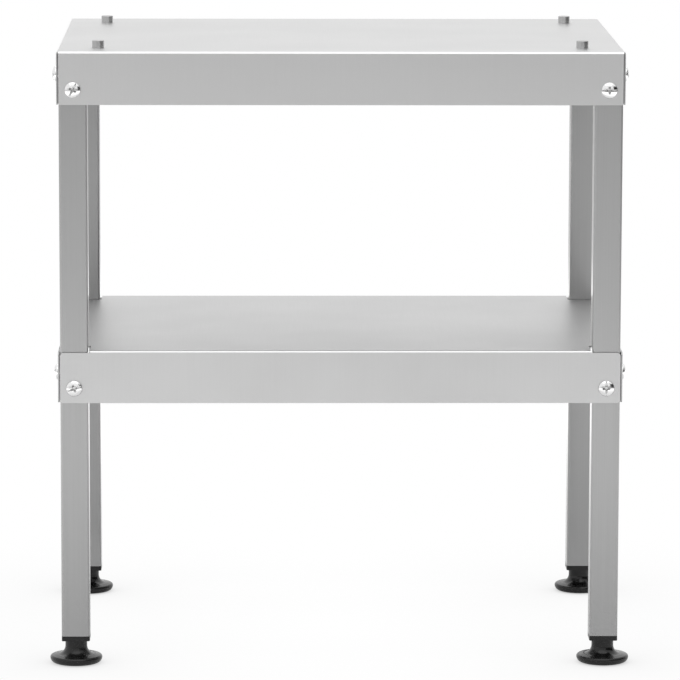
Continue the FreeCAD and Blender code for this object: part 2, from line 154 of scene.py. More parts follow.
@dataclass(frozen=True)
class GalvanisedSheet(Finish):
    """Hot-dip galvanised mild steel sheet, skin-passed between rolls, then sheared and folded.

    The eye gets a satin grey whose rolling lines run from front to back and over the folds, so that
    they smear reflections sideways, broad clouds where the zinc set unevenly, bright lines along the
    folds, partly where the press burnished it and partly a painted highlight, and dark cut edges,
    partly bare steel where the shears cut through it and partly painted shade in the skirts' corner gaps.
    """

    tray: str
    pale_colour: str
    # The cut edges' darker colour is partly bare steel and partly painted shade of the gaps at the skirts'
    # corners
    edge_steel_and_gap_shade_colour: str = "#B0B0B0"
    edge_roughness: float = 0.42
    # The folds' paler colour is partly burnished zinc and partly a painted highlight
    fold_burnish_and_highlight_colour: str = "#EAEAEA"
    fold_roughness: float = 0.28
    # How far up the outside of a fold faces, from nearly sideways to nearly straight up
    fold_facing: tuple[float, float] = (0.03, 0.97)
    sheet_mm: float = 1.0
    bend_mm: float = 1.5
    # Rolling lines are some hundredths of a millimetre wide; they are drawn wide enough to show
    line_length_mm: float = 60.0
    line_width_mm: float = 0.9
    line_depth_mm: float = 0.0006
    line_smear: float = 0.52
    # The lines run along Y, and with the slight tilt also down the skirts that face along Y
    lines_along: tuple[float, float, float] = (0.0, 1.0, 0.05)
    # How much the lines show beside the clouds
    line_share: float = 0.25
    cloud_mm: float = 90.0
    # Folding leaves the flats very slightly buckled
    wave_mm: float = 170.0
    wave_height_mm: float = 1.0
    roughness_spread: float = 0.05

    def draw(self, tree: bpy.types.NodeTree, shader: bpy.types.Node) -> None:
        """Draw rolling lines, clouds, burnished folds with a painted highlight, and cut edges with painted
        shade.

        Args:
            tree: the material's node tree.
            shader: the principled shader that the pattern feeds.
        """
        place = add_node(tree, "TexCoord", {}).outputs["Object"]
        along, across = 1 / (self.line_length_mm * MM), 1 / (self.line_width_mm * MM)
        rolled = add_node(
            tree, "Mapping", {"Vector": self.unfolded(tree, place), "Scale": (across, along, 0.0)}
        )
        lines = add_node(tree, "TexNoise", {"Vector": rolled.outputs[0], "Scale": 1.0, "Detail": 2.0})
        clouds = add_node(
            tree, "TexNoise", {"Vector": place, "Scale": 1 / (self.cloud_mm * MM), "Detail": 3.0}
        )
        blend = add_node(
            tree, "Mix",
            {0: self.line_share, 2: clouds.outputs["Fac"], 3: lines.outputs["Fac"]}, data_type="FLOAT",
        )
        zinc = add_node(
            tree, "Mix",
            {0: blend.outputs[0], 6: linear(self.colour), 7: linear(self.pale_colour)}, data_type="RGBA",
        )
        spread = self.roughness_spread / 2
        polish = add_node(tree, "MapRange", {
            "Value": blend.outputs[0], "From Min": NOISE_LOW, "From Max": NOISE_HIGH,
            "To Min": self.roughness + spread, "To Max": self.roughness - spread,
        })
        colour, rough = zinc.outputs[2], polish.outputs[0]
        for where, tint, roughness in (
            # Paler on the folds: partly burnished zinc, partly a painted highlight
            (self.fold(tree), self.fold_burnish_and_highlight_colour, self.fold_roughness),
            # Darker on the cut edges: partly bare steel, partly painted shade of the gaps at the skirts'
            # corners
            (self.cut_edge(tree, place), self.edge_steel_and_gap_shade_colour, self.edge_roughness),
        ):
            colour = add_node(
                tree, "Mix", {0: where, 6: colour, 7: linear(tint)}, data_type="RGBA"
            ).outputs[2]
            rough = add_node(tree, "Mix", {0: where, 2: rough, 3: roughness}, data_type="FLOAT").outputs[0]
        waves = add_node(
            tree, "TexNoise", {"Vector": place, "Scale": 1 / (self.wave_mm * MM), "Detail": 0.0}
        )
        buckled = add_node(tree, "Bump", {
            "Strength": 1.0, "Distance": self.wave_height_mm * MM, "Height": waves.outputs["Fac"],
        })
        bump = add_node(tree, "Bump", {
            "Strength": 1.0, "Distance": self.line_depth_mm * MM, "Height": lines.outputs["Fac"],
            "Normal": buckled.outputs["Normal"],
        })
        shader.inputs["Anisotropic"].default_value = self.line_smear
        tree.links.new(colour, shader.inputs["Base Color"])
        tree.links.new(rough, shader.inputs["Roughness"])
        tree.links.new(bump.outputs["Normal"], shader.inputs["Normal"])
        tree.links.new(self.across_lines(tree), shader.inputs["Tangent"])

    def unfolded(self, tree: bpy.types.NodeTree, place: bpy.types.NodeSocket) -> bpy.types.NodeSocket:
        """Lay the skirts out flat, as they were before the tray was folded.

        Args:
            tree: the material's node tree.
            place: the point on the tray, in the stand's frame.

        Returns:
            An output with the point on the flat sheet.
        """
        point = add_node(tree, "SeparateXYZ", {0: place})
        facing = add_node(tree, "NewGeometry", {}).outputs["True Normal"]
        drop = add_node(
            tree, "Math", {0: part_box(self.tray)[1].z, 1: point.outputs["Z"]}, operation="SUBTRACT"
        )
        flat = add_node(
            tree, "VectorMath", {0: facing, 1: drop.outputs[0], 2: place}, operation="MULTIPLY_ADD"
        )
        return flat.outputs[0]

    def across_lines(self, tree: bpy.types.NodeTree) -> bpy.types.NodeSocket:
        """Find the direction across the rolling lines, in which they scatter the light.

        Args:
            tree: the material's node tree.

        Returns:
            An output with the direction.
        """
        facing = add_node(tree, "NewGeometry", {}).outputs["Normal"]
        across = add_node(tree, "VectorMath", {0: facing, 1: self.lines_along}, operation="CROSS_PRODUCT")
        return add_node(tree, "VectorMath", {0: across.outputs[0]}, operation="NORMALIZE").outputs[0]

    def fold(self, tree: bpy.types.NodeTree) -> bpy.types.NodeSocket:
        """Find the outside of the folds, which face neither straight up nor sideways.

        Args:
            tree: the material's node tree.

        Returns:
            An output that is one on the folds and zero elsewhere.
        """
        least, most = self.fold_facing
        facing = add_node(tree, "NewGeometry", {}).outputs["True Normal"]
        upward = add_node(tree, "SeparateXYZ", {0: facing}).outputs["Z"]
        middle, margin = (least + most) / 2, (most - least) / 2
        return add_node(tree, "Math", {0: upward, 1: middle, 2: margin}, operation="COMPARE").outputs[0]

    def cut_edge(self, tree: bpy.types.NodeTree, place: bpy.types.NodeSocket) -> bpy.types.NodeSocket:
        """Find the sheared edges of the skirts: below the bend, facing along the sheet.

        Args:
            tree: the material's node tree.
            place: the point on the tray, in the stand's frame.

        Returns:
            An output that is one on the cut edges and zero elsewhere.
        """
        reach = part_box(self.tray)[1]
        point = add_node(tree, "SeparateXYZ", {0: place})
        facing = add_node(tree, "NewGeometry", {}).outputs["True Normal"]
        facing = add_node(tree, "SeparateXYZ", {0: facing})
        bend_end = reach.z - self.bend_mm * MM - NEAR
        below = add_node(tree, "Math", {0: point.outputs["Z"], 1: bend_end}, operation="LESS_THAN")
        edges = []
        for axis in "XY":
            inner_face = getattr(reach, axis.lower()) - self.sheet_mm * MM - NEAR
            distance = add_node(tree, "Math", {0: point.outputs[axis]}, operation="ABSOLUTE")
            skirt = add_node(
                tree, "Math", {0: distance.outputs[0], 1: inner_face}, operation="GREATER_THAN"
            )
            squareness = add_node(tree, "Math", {0: facing.outputs[axis]}, operation="ABSOLUTE")
            # A skirt's faces point along the axis, and its cut edges across it
            aside = add_node(tree, "Math", {0: squareness.outputs[0], 1: 0.5}, operation="LESS_THAN")
            edges.append(
                add_node(tree, "Math", {0: skirt.outputs[0], 1: aside.outputs[0]}, operation="MULTIPLY")
            )
        either = add_node(
            tree, "Math", {0: edges[0].outputs[0], 1: edges[1].outputs[0]}, operation="MAXIMUM"
        )
        cut = add_node(tree, "Math", {0: either.outputs[0], 1: below.outputs[0]}, operation="MULTIPLY")
        return cut.outputs[0]


@dataclass(frozen=True)
class WeldedTube(Finish):
    """Galvanised square steel tube, roll-formed, welded along one seam and drawn through a die.

    The eye gets a duller and darker grey than the sheet's, fine lines along the tube from the die, a
    gleam along faces seen edge-on, where the clear passivation mirrors the room, and on the inward
    face the narrow trace of the dressed seam.
    """

    pale_colour: str = "#A8A8A8"
    seam_colour: str = "#838383"
    # Die lines are finer than a tenth of a millimetre; they are drawn wide enough to show
    line_length_mm: float = 140.0
    line_width_mm: float = 0.7
    line_depth_mm: float = 0.0008
    seam_width_mm: float = 1.6
    roughness_spread: float = 0.06
    film: float = 0.65
    film_roughness: float = 0.1

    def draw(self, tree: bpy.types.NodeTree, shader: bpy.types.Node) -> None:
        """Draw the die lines and the seam.

        Args:
            tree: the material's node tree.
            shader: the principled shader that the pattern feeds.
        """
        place = add_node(tree, "TexCoord", {}).outputs["Object"]
        along, across = 1 / (self.line_length_mm * MM), 1 / (self.line_width_mm * MM)
        drawn = add_node(tree, "Mapping", {"Vector": place, "Scale": (across, across, along)})
        lines = add_node(tree, "TexNoise", {"Vector": drawn.outputs[0], "Scale": 1.0, "Detail": 2.0})
        zinc = add_node(
            tree, "Mix",
            {0: lines.outputs["Fac"], 6: linear(self.colour), 7: linear(self.pale_colour)},
            data_type="RGBA",
        )
        seam = self.seam(tree, place)
        colour = add_node(
            tree, "Mix", {0: seam, 6: zinc.outputs[2], 7: linear(self.seam_colour)}, data_type="RGBA"
        )
        spread = self.roughness_spread / 2
        polish = add_node(tree, "MapRange", {
            "Value": lines.outputs["Fac"], "From Min": NOISE_LOW, "From Max": NOISE_HIGH,
            "To Min": self.roughness + spread, "To Max": self.roughness - spread,
        })
        bump = add_node(tree, "Bump", {
            "Strength": 1.0, "Distance": self.line_depth_mm * MM, "Height": lines.outputs["Fac"],
        })
        shader.inputs["Coat Weight"].default_value = self.film
        shader.inputs["Coat Roughness"].default_value = self.film_roughness
        tree.links.new(colour.outputs[2], shader.inputs["Base Color"])
        tree.links.new(polish.outputs[0], shader.inputs["Roughness"])
        tree.links.new(bump.outputs["Normal"], shader.inputs["Normal"])

    def seam(self, tree: bpy.types.NodeTree, place: bpy.types.NodeSocket) -> bpy.types.NodeSocket:
        """Find the dressed weld seam, down the middle of each leg's face towards the stand's middle.

        Args:
            tree: the material's node tree.
            place: the point on the leg, in the stand's frame.

        Returns:
            An output that is one on the seam and zero elsewhere.
        """
        low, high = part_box(Corner.REAR_RIGHT.node("leg"))
        point = add_node(tree, "SeparateXYZ", {0: place})
        out_x = add_node(tree, "Math", {0: point.outputs["X"]}, operation="ABSOLUTE")
        out_y = add_node(tree, "Math", {0: point.outputs["Y"]}, operation="ABSOLUTE")
        inward = add_node(tree, "Math", {0: out_x.outputs[0], 1: low.x + NEAR}, operation="LESS_THAN")
        middle = add_node(
            tree, "Math",
            {0: out_y.outputs[0], 1: (low.y + high.y) / 2, 2: self.seam_width_mm * MM / 2},
            operation="COMPARE",
        )
        trace = add_node(tree, "Math", {0: inward.outputs[0], 1: middle.outputs[0]}, operation="MULTIPLY")
        return trace.outputs[0]


@dataclass(frozen=True)
class ZincPlate(Finish):
    """Cold-headed and thread-rolled steel, electroplated with bright zinc and clear-passivated.

    The eye gets a bright, pale metal with clear reflections that the plating's grain softens a little.
    """

    pale_colour: str = "#F0F0F0"
    grain_mm: float = 1.2
    grain_depth_mm: float = 0.004
    roughness_spread: float = 0.08

    def draw(self, tree: bpy.types.NodeTree, shader: bpy.types.Node) -> None:
        """Draw the plating's grain.

        Args:
            tree: the material's node tree.
            shader: the principled shader that the pattern feeds.
        """
        place = add_node(tree, "TexCoord", {}).outputs["Object"]
        grain = add_node(
            tree, "TexNoise", {"Vector": place, "Scale": 1 / (self.grain_mm * MM), "Detail": 2.0}
        )
        colour = add_node(
            tree, "Mix",
            {0: grain.outputs["Fac"], 6: linear(self.colour), 7: linear(self.pale_colour)},
            data_type="RGBA",
        )
        spread = self.roughness_spread / 2
        polish = add_node(tree, "MapRange", {
            "Value": grain.outputs["Fac"], "From Min": NOISE_LOW, "From Max": NOISE_HIGH,
            "To Min": self.roughness - spread, "To Max": self.roughness + spread,
        })
        bump = add_node(tree, "Bump", {
            "Strength": 1.0, "Distance": self.grain_depth_mm * MM, "Height": grain.outputs["Fac"],
        })
        tree.links.new(colour.outputs[2], shader.inputs["Base Color"])
        tree.links.new(polish.outputs[0], shader.inputs["Roughness"])
        tree.links.new(bump.outputs["Normal"], shader.inputs["Normal"])


@dataclass(frozen=True)
class TurnedSteel(Finish):
    """Free-cutting steel, turned on a lathe and left bright.

    The eye gets dark and light upright streaks, because the fine rings that the tool's feed leaves
    smear what stands round the pin up and down.
    """

    pale_colour: str = "#C0C0C0"
    # The feed leaves a ring every tenth of a millimetre; they are drawn wide enough to show
    feed_mm: float = 0.5
    ring_depth_mm: float = 0.0012
    ring_wobble: float = 0.4
    ring_smear: float = 0.8

    def draw(self, tree: bpy.types.NodeTree, shader: bpy.types.Node) -> None:
        """Draw the tool's rings, round the pin's side and over its end.

        Args:
            tree: the material's node tree.
            shader: the principled shader that the pattern feeds.
        """
        low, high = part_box(Corner.REAR_RIGHT.node("locating_pin"))
        middle = (low + high) / 2
        place = add_node(tree, "TexCoord", {}).outputs["Object"]
        mirrored = add_node(tree, "VectorMath", {0: place}, operation="ABSOLUTE")
        centred = add_node(
            tree, "VectorMath", {0: mirrored.outputs[0], 1: (middle.x, middle.y, 0.0)}, operation="SUBTRACT"
        )
        # One ring a feed
        scale = 2 * math.pi / (WAVE_RADIANS * self.feed_mm * MM)
        side = add_node(
            tree, "TexWave", {"Vector": centred.outputs[0], "Scale": scale, "Distortion": self.ring_wobble},
            wave_type="BANDS", bands_direction="Z",
        )
        end = add_node(
            tree, "TexWave", {"Vector": centred.outputs[0], "Scale": scale, "Distortion": self.ring_wobble},
            wave_type="RINGS", rings_direction="Z",
        )
        # Each pattern is even where the other one shows
        rings = add_node(
            tree, "Mix", {0: 0.5, 2: side.outputs["Fac"], 3: end.outputs["Fac"]}, data_type="FLOAT"
        )
        colour = add_node(
            tree, "Mix",
            {0: rings.outputs[0], 6: linear(self.colour), 7: linear(self.pale_colour)}, data_type="RGBA",
        )
        bump = add_node(tree, "Bump", {
            "Strength": 1.0, "Distance": self.ring_depth_mm * MM, "Height": rings.outputs[0],
        })
        # The rings scatter the light across them: up and down the side, and outwards on the end
        side_of_zero = add_node(tree, "VectorMath", {0: place}, operation="SIGN")
        outward = add_node(
            tree, "VectorMath", {0: centred.outputs[0], 1: side_of_zero.outputs[0]}, operation="MULTIPLY"
        )
        pin_axis = (0.0, 0.0, 1.0)
        along = add_node(
            tree, "VectorMath", {0: pin_axis, 1: outward.outputs[0]}, operation="CROSS_PRODUCT"
        )
        facing = add_node(tree, "NewGeometry", {}).outputs["Normal"]
        across = add_node(
            tree, "VectorMath", {0: facing, 1: along.outputs[0]}, operation="CROSS_PRODUCT"
        )
        across = add_node(tree, "VectorMath", {0: across.outputs[0]}, operation="NORMALIZE")
        shader.inputs["Roughness"].default_value = self.roughness
        shader.inputs["Anisotropic"].default_value = self.ring_smear
        tree.links.new(colour.outputs[2], shader.inputs["Base Color"])
        tree.links.new(bump.outputs["Normal"], shader.inputs["Normal"])
        tree.links.new(across.outputs[0], shader.inputs["Tangent"])


@dataclass(frozen=True)
class MouldedPlastic(Finish):
    """Black polypropylene, injection-moulded in a lightly spark-eroded tool.

    The eye gets a deep black with broad, soft highlights that a fine pebble grain breaks up.
    """

    worn_colour: str = "#1C1C1C"
    ior: float = 1.43
    grain_mm: float = 0.35
    grain_depth_mm: float = 0.006
    flow_mm: float = 14.0
    roughness_spread: float = 0.12

    def draw(self, tree: bpy.types.NodeTree, shader: bpy.types.Node) -> None:
        """Draw the mould's grain and the faint clouds of the plastic's flow.

        Args:
            tree: the material's node tree.
            shader: the principled shader that the pattern feeds.
        """
        place = add_node(tree, "TexCoord", {}).outputs["Object"]
        grain = add_node(
            tree, "TexNoise", {"Vector": place, "Scale": 1 / (self.grain_mm * MM), "Detail": 1.0}
        )
        flow = add_node(
            tree, "TexNoise", {"Vector": place, "Scale": 1 / (self.flow_mm * MM), "Detail": 3.0}
        )
        colour = add_node(
            tree, "Mix",
            {0: flow.outputs["Fac"], 6: linear(self.colour), 7: linear(self.worn_colour)}, data_type="RGBA",
        )
        spread = self.roughness_spread / 2
        polish = add_node(tree, "MapRange", {
            "Value": flow.outputs["Fac"], "From Min": NOISE_LOW, "From Max": NOISE_HIGH,
            "To Min": self.roughness - spread, "To Max": self.roughness + spread,
        })
        bump = add_node(tree, "Bump", {
            "Strength": 1.0, "Distance": self.grain_depth_mm * MM, "Height": grain.outputs["Fac"],
        })
        shader.inputs["IOR"].default_value = self.ior
        tree.links.new(colour.outputs[2], shader.inputs["Base Color"])
        tree.links.new(polish.outputs[0], shader.inputs["Roughness"])
        tree.links.new(bump.outputs["Normal"], shader.inputs["Normal"])


TOP_SHEET = GalvanisedSheet(
    "galvanised_sheet_skin_passed_top", "#CBCBCB", 0.40, 1.0, "top_tray", pale_colour="#D5D5D5"
)
# The shelf's sheet is the top's sheet, painted darker as shade under the top tray
SHELF_SHEET_PAINTED_SHADE = GalvanisedSheet(
    "galvanised_sheet_shelf_painted_shade", "#BEBEBE", 0.40, 1.0, "lower_shelf", pale_colour="#C9C9C9"
)
TUBE = WeldedTube("galvanised_tube_die_drawn", "#A2A2A2", 0.37, 1.0)
BRIGHT_ZINC = ZincPlate("bright_zinc_electroplated", "#E6E6E6", 0.2, 1.0)
# Darker than the bright zinc: partly the punch's duller finish, partly painted shade in the screws'
# recesses
DULL_ZINC_AND_RECESS_SHADE = ZincPlate("dull_zinc_and_painted_recess_shade", "#B8B8B8", 0.26, 1.0, pale_colour="#CACACA")
TURNED_STEEL = TurnedSteel("bright_steel_turned", "#ACACAC", 0.28, 1.0)
BLACK_PLASTIC = MouldedPlastic("black_polypropylene_moulded", "#121212", 0.24, 0.0)


def dress(node: str, finish: Finish) -> None:
    """Give a node of the frame its finish.

    Args:
        node: the node's name.
        finish: the finish for all of its faces.
    """
    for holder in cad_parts[node].material_slots:
        holder.material = finish.material()
    log.info("dressed %s in %s", node, finish.name)


@dataclass
class Trays:
    """The top tray and the lower shelf."""

    def dress(self) -> None:
        """Give both trays their sheet finish, the shelf's painted darker as shade."""
        dress("top_tray", TOP_SHEET)
        dress("lower_shelf", SHELF_SHEET_PAINTED_SHADE)


@dataclass
class Legs:
    """The four tube legs and the rivet nuts set into them."""

    def dress(self) -> None:
        """Give the tubes and the rivet nuts their finishes."""
        for corner in Corner:
            dress(corner.node("leg"), TUBE)
            dress(corner.node("rivet_nuts"), BRIGHT_ZINC)


@dataclass
class LocatingPins:
    """The four turned pins on the top plate."""

    def dress(self) -> None:
        """Give the pins their finish."""
        for corner in Corner:
            dress(corner.node("locating_pin"), TURNED_STEEL)


def turn(shape: bmesh.types.BMesh, outline: list[tuple[float, float]], steps: int = 64) -> None:
    """Turn an outline about the Z axis into a closed skin.

    Args:
        shape: the mesh that the skin is added to.
        outline: (radius, height) points; the first and the last lie on the axis.
        steps: flats round the skin.
    """
    spokes = [2 * math.pi * step / steps for step in range(steps)]
    first, last = (shape.verts.new((0.0, 0.0, height)) for _, height in (outline[0], outline[-1]))
    rings = [
        [shape.verts.new((radius * math.cos(a), radius * math.sin(a), height)) for a in spokes]
        for radius, height in outline[1:-1]
    ]
    for here in range(steps):
        there = (here + 1) % steps
        shape.faces.new((first, rings[0][there], rings[0][here]))
        shape.faces.new((last, rings[-1][here], rings[-1][there]))
        for low, high in zip(rings, rings[1:]):
            shape.faces.new((low[here], low[there], high[there], high[here]))


def finished(name: str, shape: bmesh.types.BMesh, finish: Finish, crease: float = 35.0) -> bpy.types.Object:
    """Turn a mesh into an object with a finish, smooth apart from its sharp edges.

    Args:
        name: the object's name.
        shape: the mesh, which is used up.
        finish: the finish for all of its faces.
        crease: the least angle of a sharp edge, in degrees.

    Returns:
        The object, in the scene.
    """
    mesh = bpy.data.meshes.new(name)
    shape.to_mesh(mesh)
    shape.free()
    mesh.shade_smooth()
    mesh.set_sharp_from_angle(angle=math.radians(crease))
    mesh.materials.append(finish.material())
    made = bpy.data.objects.new(name, mesh)
    bpy.context.scene.collection.objects.link(made)
    return made


@dataclass(frozen=True)
class Thread:
    """A rolled metric thread on a shank."""

    radius: float
    pitch: float
    depth_share: float = 0.613
    steps: int = 40
    # Height of the ridge, row by row, over one pitch: root, flank, crest, flank
    ridge: tuple[float, ...] = (0.0, 0.0, 0.33, 0.67, 1.0, 1.0, 0.67, 0.33)

    def add(self, shape: bmesh.types.BMesh, bottom: float, top: float) -> None:
        """Add a threaded shank as one closed skin whose rows follow the helix.

        Args:
            shape: the mesh that the shank is added to.
            bottom: the height of the shank's lower end.
            top: the height of its upper end.
        """
        depth = self.depth_share * self.pitch
        per_turn = len(self.ridge)
        rows = math.ceil((top - bottom) / self.pitch + 2) * per_turn + 1
        skin = bmesh.new()
        grid = [[] for _ in range(rows)]
        for row in range(rows):
            for step in range(self.steps):
                height = bottom + (row / per_turn + step / self.steps - 1) * self.pitch
                height = min(max(height, bottom), top)
                # The ridge runs out over the last turn at each end
                fade = min((height - bottom) / self.pitch, (top - height) / self.pitch, 1.0)
                radius = self.radius - depth * (1 - fade * self.ridge[row % per_turn])
                angle = 2 * math.pi * step / self.steps
                point = (radius * math.cos(angle), radius * math.sin(angle), height)
                grid[row].append(skin.verts.new(point))
        for row in range(rows - 1):
            for step in range(self.steps):
                after, rise = (step + 1, 0) if step + 1 < self.steps else (0, per_turn)
                if row + rise + 1 < rows:
                    skin.faces.new((
                        grid[row][step], grid[row + rise][after],
                        grid[row + rise + 1][after], grid[row + 1][step],
                    ))
        bmesh.ops.remove_doubles(skin, verts=skin.verts, dist=WELD)
        bmesh.ops.delete(skin, geom=[vert for vert in skin.verts if not vert.link_faces], context="VERTS")
        bmesh.ops.holes_fill(skin, edges=skin.edges, sides=0)
        part = bpy.data.meshes.new("thread")
        skin.to_mesh(part)
        skin.free()
        shape.from_mesh(part)
        bpy.data.meshes.remove(part)


@dataclass
class PanHeadScrews:
    """M6 pan-head screws with a slot and a cross, four to a corner."""

    head_radius: float = 5.75 * MM
    head_height: float = 3.0 * MM
    head_side: float = 0.6 * MM
    crown_steps: int = 16
    edge_break: float = 0.15 * MM
    length: float = 12.0 * MM
    slot_width: float = 1.15 * MM
    slot_depth: float = 1.5 * MM
    wing_width: float = 1.6 * MM
    wing_span: float = 6.4 * MM
    wing_foot: float = 2.4 * MM
    wing_depth: float = 2.4 * MM
    wing_taper: float = 0.75
    # How far a cutter stands above the head, as a share of its depth
    cutter_rise: float = 0.1
    arris: float = 0.07 * MM
    # Edges sharper than this are worn round, in degrees
    arris_angle: float = 40.0
    face_rise: float = 10.6 * MM
    side_rise: float = 21.0 * MM
    thread: Thread = Thread(3.0 * MM, 1.0 * MM)

    # How far each screw's slot was left turned when it was tightened, in degrees:
    # upper front or back, upper side, lower front or back, lower side
    turns: ClassVar[dict[Corner, tuple[int, ...]]] = {
        Corner.FRONT_LEFT: (62, 35, 20, 110),
        Corner.FRONT_RIGHT: (0, 75, 90, 15),
        Corner.REAR_LEFT: (48, 5, 130, 62),
        Corner.REAR_RIGHT: (155, 95, 28, 140),
    }

    def build(self) -> None:
        """Build the screws of each corner and put them in place of the plain ones."""
        pattern = self.screw()
        for corner in Corner:
            shape = bmesh.new()
            for seat in self.seats(corner):
                copy = pattern.copy()
                copy.transform(seat)
                shape.from_mesh(copy)
                bpy.data.meshes.remove(copy)
            screws = finished(corner.node("pan_head_screws"), shape, BRIGHT_ZINC)
            screws.data.materials.append(DULL_ZINC_AND_RECESS_SHADE.material())
            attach(screws, STAND)
            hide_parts(corner.node("screws"))
            log.info("built %s", screws.name)

    def seats(self, corner: Corner) -> Iterator[Matrix]:
        """Give the place of each screw of a corner, with its axis pointing out of the skirt.

        Args:
            corner: the corner that the screws are in.

        Returns:
            A matrix for each of the four screws.
        """
        side_x, side_y = corner.value
        low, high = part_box(corner.node("leg"))
        leg = (low + high) / 2
        turns = iter(self.turns[corner])
        for tray in ("top_tray", "lower_shelf"):
            low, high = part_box(tray)
            seat = Vector((leg.x, side_y * high.y, low.z + self.face_rise))
            facing = Matrix.Rotation(math.radians(-90 * side_y), 4, "X")
            yield Matrix.Translation(seat) @ facing @ Matrix.Rotation(math.radians(next(turns)), 4, "Z")
            seat = Vector((side_x * high.x, leg.y, low.z + self.side_rise))
            facing = Matrix.Rotation(math.radians(90 * side_x), 4, "Y")
            yield Matrix.Translation(seat) @ facing @ Matrix.Rotation(math.radians(next(turns)), 4, "Z")

    def screw(self) -> bpy.types.Mesh:
        """Make one screw: a domed head with its recess cut out, over a threaded shank.

        Returns:
            The screw's mesh, with its head along +Z and the skirt's face at zero.
        """
        crown = self.head_height - self.head_side
        rim = self.head_radius - self.edge_break
        outline = [(0.0, 0.0), (rim, 0.0), (self.head_radius, self.edge_break)]
        for step in range(self.crown_steps + 1):
            angle = math.pi / 2 * step / self.crown_steps
            outline.append((self.head_radius * math.cos(angle), self.head_side + crown * math.sin(angle)))
        outline[-1] = (0.0, self.head_height)
        head = bmesh.new()
        turn(head, outline)
        solid = finished("screw_head", head, BRIGHT_ZINC)
        cutters = [self.slot(), self.wing(0), self.wing(90)]
        for cutter in cutters:
            cut = solid.modifiers.new(cutter.name, "BOOLEAN")
            cut.object = cutter
            cut.operation = "DIFFERENCE"
            cut.solver = "EXACT"
            cut.material_mode = "TRANSFER"
        worn = solid.modifiers.new("worn_edges", "BEVEL")
        worn.width = self.arris
        worn.segments = 2
        worn.limit_method = "ANGLE"
        worn.angle_limit = math.radians(self.arris_angle)
        shape = bmesh.new()
        shape.from_mesh(bpy.data.meshes.new_from_object(
            solid.evaluated_get(bpy.context.evaluated_depsgraph_get())
        ))
        for piece in (solid, *cutters):
            bpy.data.objects.remove(piece)
        # The bevel leaves a few faces with no area
        bmesh.ops.remove_doubles(shape, verts=shape.verts, dist=WELD)
        bmesh.ops.dissolve_degenerate(shape, edges=shape.edges, dist=WELD)
        self.thread.add(shape, -self.length, 0.0)
        mesh = bpy.data.meshes.new("screw")
        shape.to_mesh(mesh)
        shape.free()
        return mesh

    def slot(self) -> bpy.types.Object:
        """Make the cutter of the slot, which runs right across the head."""
        reach, half = 2 * self.head_radius, self.slot_width / 2
        return self.cutter("slot", (reach, half), (reach, half), self.slot_depth, 0)

    def wing(self, turned: float) -> bpy.types.Object:
        """Make the cutter of one pair of the cross's wings, which taper downwards.

        Args:
            turned: how far the pair is turned about the axis, in degrees.

        Returns:
            The cutter, in the scene.
        """
        top = (self.wing_span / 2, self.wing_width / 2)
        foot = (self.wing_foot / 2, self.wing_taper * self.wing_width / 2)
        return self.cutter("wing", top, foot, self.wing_depth, turned)

    def cutter(
        self, name: str, top: tuple[float, float], foot: tuple[float, float], depth: float, turned: float
    ) -> bpy.types.Object:
        """Make a cutter with flat walls, which leaves the punch's dull finish behind, darkened with painted
        shade in the recess.

        Args:
            name: the cutter's name.
            top: its reach from the axis along X and along Y at the head's top.
            foot: the same at its floor.
            depth: how far down its floor lies.
            turned: how far it is turned about the axis, in degrees.

        Returns:
            The cutter, in the scene.
        """
        shape = bmesh.new()
        bmesh.ops.create_cube(shape, size=2.0)
        for vert in shape.verts:
            upper = vert.co.z > 0
            reach = top if upper else foot
            vert.co.x *= reach[0]
            vert.co.y *= reach[1]
            vert.co.z = self.head_height + (self.cutter_rise * depth if upper else -depth)
        spin = Matrix.Rotation(math.radians(turned), 3, "Z")
        bmesh.ops.rotate(shape, verts=shape.verts, cent=(0.0, 0.0, 0.0), matrix=spin)
        return finished(name, shape, DULL_ZINC_AND_RECESS_SHADE)


@dataclass
class LevellingFeet:
    """The moulded feet with their threaded studs, and the tube inserts that they screw into."""

    stud_head_radius: float = 6.5 * MM
    stud_head_height: float = 4.0 * MM
    edge_break: float = 0.3 * MM
    thread: Thread = Thread(4.0 * MM, 1.25 * MM)

    def build(self) -> None:
        """Build the threaded studs and put them in place of the plain ones."""
        for corner in Corner:
            low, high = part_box(corner.node("levelling_stud"))
            head_top = low.z + self.stud_head_height
            rim = self.stud_head_radius - self.edge_break
            shape = bmesh.new()
            turn(shape, [
                (0.0, low.z), (rim, low.z), (self.stud_head_radius, low.z + self.edge_break),
                (self.stud_head_radius, head_top - self.edge_break), (rim, head_top), (0.0, head_top),
            ])
            self.thread.add(shape, head_top, high.z)
            axis = (low + high) / 2
            bmesh.ops.translate(shape, verts=shape.verts, vec=(axis.x, axis.y, 0.0))
            stud = finished(corner.node("threaded_stud"), shape, BRIGHT_ZINC)
            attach(stud, corner.node("stud"))
            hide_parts(corner.node("levelling_stud"))
            log.info("built %s", stud.name)

    def dress(self) -> None:
        """Give the inserts, nuts and feet their finishes."""
        for corner in Corner:
            dress(corner.node("foot_insert"), BLACK_PLASTIC)
            dress(corner.node("insert_nut"), BRIGHT_ZINC)
            dress(corner.node("levelling_foot"), BLACK_PLASTIC)


